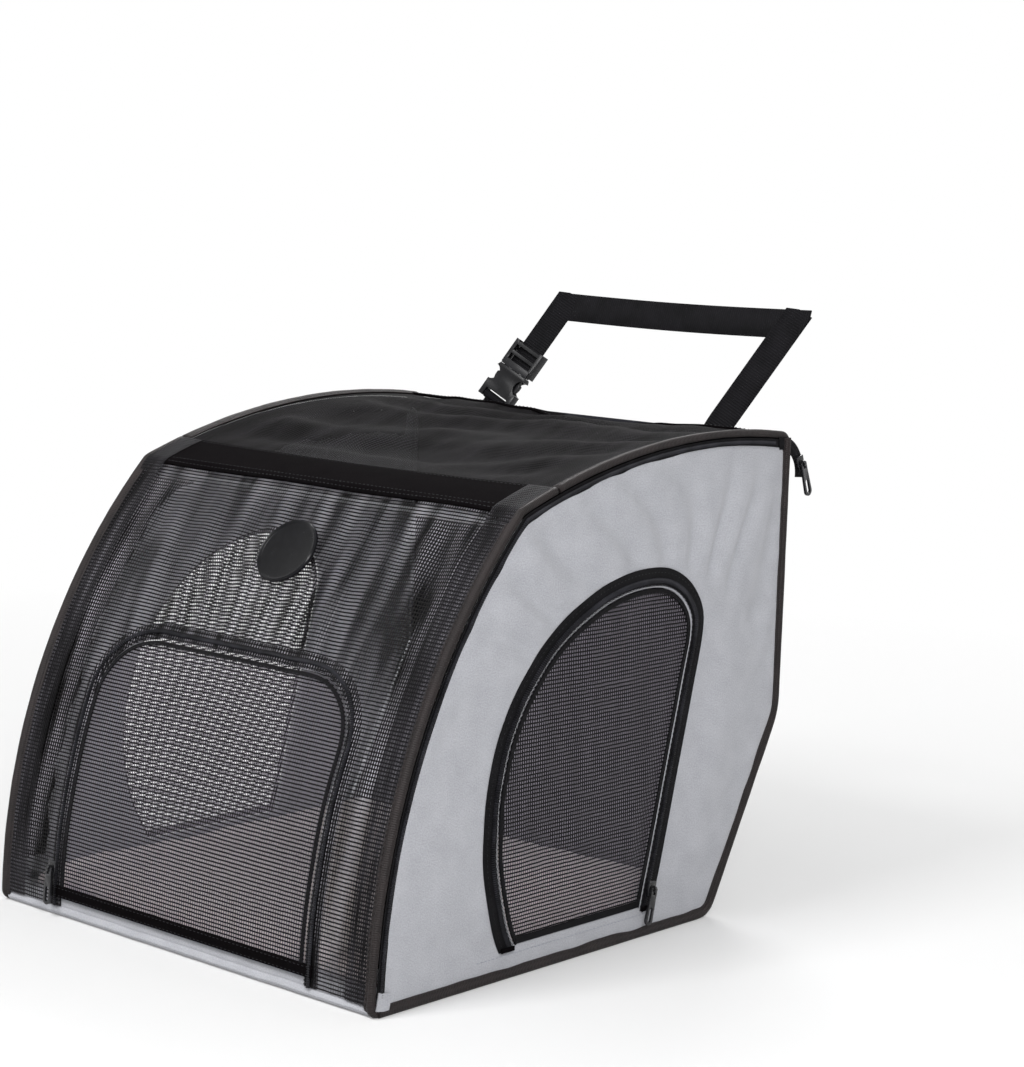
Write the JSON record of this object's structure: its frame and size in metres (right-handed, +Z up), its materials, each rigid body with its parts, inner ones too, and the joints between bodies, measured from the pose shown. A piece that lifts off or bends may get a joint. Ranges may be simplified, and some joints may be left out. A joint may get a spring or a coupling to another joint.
{
  "type": "pet carrier bag",
  "caption": "Soft-sided pet carrier for a car seat with grey side panels on wire hoops, a curved black mesh front door, mesh side windows, a zipped mesh top, a floor pad and a headrest strap.",
  "frame": {"origin": "middle of the base on the surface that it stands on", "axes": "+X to the right of someone facing the front door, -Y out of the front door, +Z up"},
  "size_m": [0.4256, 0.5212, 0.4801],
  "materials": {
    "grey_canvas": "woven polyester canvas, matt",
    "black_mesh": "open woven polyester mesh",
    "black_fabric": "black polyester twill, matt",
    "binding_tape": "dark brown-black woven binding tape",
    "zip_tape": "woven zip tape with a nylon coil",
    "fleece": "short pile fleece",
    "back_lining": "dark grey polyester, matt",
    "webbing": "black polypropylene webbing",
    "spring_steel": "plain spring steel wire",
    "black_metal": "black enamelled zinc",
    "black_plastic": "moulded acetal",
    "label_plastic": "moulded, satin"
  },
  "bodies": {
    "body": {"base_panel": "grey_canvas", "floor_pad": "fleece", "side_panel_right": "grey_canvas", "side_panel_left": "grey_canvas", "back_panel": "back_lining", "front_mesh": "black_mesh", "front_hem": "black_fabric", "cross_band": "black_fabric", "front_binding_right": "binding_tape", "front_binding_left": "binding_tape", "edge_zip_right": "zip_tape", "edge_zip_left": "zip_tape", "piping_right": "binding_tape", "piping_left": "binding_tape", "frame_rod_right": "spring_steel", "frame_rod_left": "spring_steel", "cross_bar": "spring_steel", "front_zip": "zip_tape", "side_zip_right": "zip_tape", "side_zip_left": "zip_tape", "label_disc": "label_plastic", "buckle_strap": "webbing", "buckle_socket": "black_plastic", "headrest_strap": "webbing", "strap_patch_right": "webbing", "strap_patch_left": "webbing", "belt_loop_right": "webbing", "belt_loop_left": "webbing"},
    "front_door": {"front_door": "black_mesh", "front_door_tape": "zip_tape"},
    "top_flap": {"top_mesh": "black_mesh", "rear_hem": "black_fabric", "top_binding_right": "binding_tape", "top_binding_left": "binding_tape"},
    "side_door_right": {"side_door_right": "black_mesh", "side_door_tape_right": "zip_tape"},
    "side_door_left": {"side_door_left": "black_mesh", "side_door_tape_left": "zip_tape"},
    "front_slider": {"front_slider": "black_metal"},
    "front_pull": {"front_pull": "black_metal"},
    "buckle_plug": {"buckle_plug": "black_plastic"},
    "side_slider_right": {"side_slider_right": "black_metal"},
    "side_slider_left": {"side_slider_left": "black_metal"},
    "side_pull_right": {"side_pull_right": "black_metal"},
    "side_pull_left": {"side_pull_left": "black_metal"},
    "corner_slider_right": {"corner_slider_right": "black_metal"},
    "corner_slider_left": {"corner_slider_left": "black_metal"},
    "corner_pull_right": {"corner_pull_right": "black_metal"},
    "corner_pull_left": {"corner_pull_left": "black_metal"}
  },
  "joints": [
    {"name": "front_door_fold", "type": "hinge", "parent": "body", "child": "front_door", "pos_m": [0, -0.18999, 0.02415], "axis": [1, 0, 0], "range_deg": [0, 100]},
    {"name": "side_door_fold_right", "type": "hinge", "parent": "body", "child": "side_door_right", "pos_m": [0.2046, 0.032, 0.02415], "axis": [0, 1, 0], "range_deg": [0, 95]},
    {"name": "side_door_fold_left", "type": "hinge", "parent": "body", "child": "side_door_left", "pos_m": [-0.2046, 0.032, 0.02415], "axis": [0, -1, 0], "range_deg": [0, 95]},
    {"name": "top_flap_fold", "type": "hinge", "parent": "body", "child": "top_flap", "pos_m": [0, -0.01135, 0.35594], "axis": [1, 0, 0], "range_deg": [0, 150]},
    {"name": "front_slider_travel", "type": "hinge", "parent": "body", "child": "front_slider", "pos_m": [-0.14, 0.296, 0], "axis": [-1, 0, 0], "range_deg": [0, 15]},
    {"name": "front_pull_swing", "type": "hinge", "parent": "front_slider", "child": "front_pull", "pos_m": [-0.14, -0.19469, 0.03856], "axis": [-1, 0, 0], "range_deg": [0, 150]},
    {"name": "side_slider_travel_right", "type": "slide", "parent": "body", "child": "side_slider_right", "axis": [0, 0.2366, 0.9716], "range_m": [0, 0.165]},
    {"name": "side_pull_swing_right", "type": "hinge", "parent": "side_slider_right", "child": "side_pull_right", "pos_m": [0.2102, 0.10996, 0.038], "axis": [0, -0.9716, 0.2366], "range_deg": [0, 150]},
    {"name": "side_slider_travel_left", "type": "slide", "parent": "body", "child": "side_slider_left", "axis": [0, 0.2366, 0.9716], "range_m": [0, 0.165]},
    {"name": "side_pull_swing_left", "type": "hinge", "parent": "side_slider_left", "child": "side_pull_left", "pos_m": [-0.2102, 0.10996, 0.038], "axis": [0, 0.9716, -0.2366], "range_deg": [0, 150]},
    {"name": "corner_slider_travel_right", "type": "hinge", "parent": "body", "child": "corner_slider_right", "pos_m": [0.203, 0.259, 0.34643], "axis": [1, 0, 0], "range_deg": [0, 65]},
    {"name": "corner_pull_swing_right", "type": "hinge", "parent": "corner_slider_right", "child": "corner_pull_right", "pos_m": [0.2085, 0.28343, 0.35533], "axis": [0, -0.9397, -0.342], "range_deg": [0, 150]},
    {"name": "corner_slider_travel_left", "type": "hinge", "parent": "body", "child": "corner_slider_left", "pos_m": [-0.203, 0.259, 0.34643], "axis": [1, 0, 0], "range_deg": [0, 65]},
    {"name": "corner_pull_swing_left", "type": "hinge", "parent": "corner_slider_left", "child": "corner_pull_left", "pos_m": [-0.2085, 0.28343, 0.35533], "axis": [0, 0.9397, 0.342], "range_deg": [0, 150]},
    {"name": "buckle_release", "type": "slide", "parent": "body", "child": "buckle_plug", "axis": [0.389, 0.3907, 0.8343], "range_m": [0, 0.02]}
  ]
}
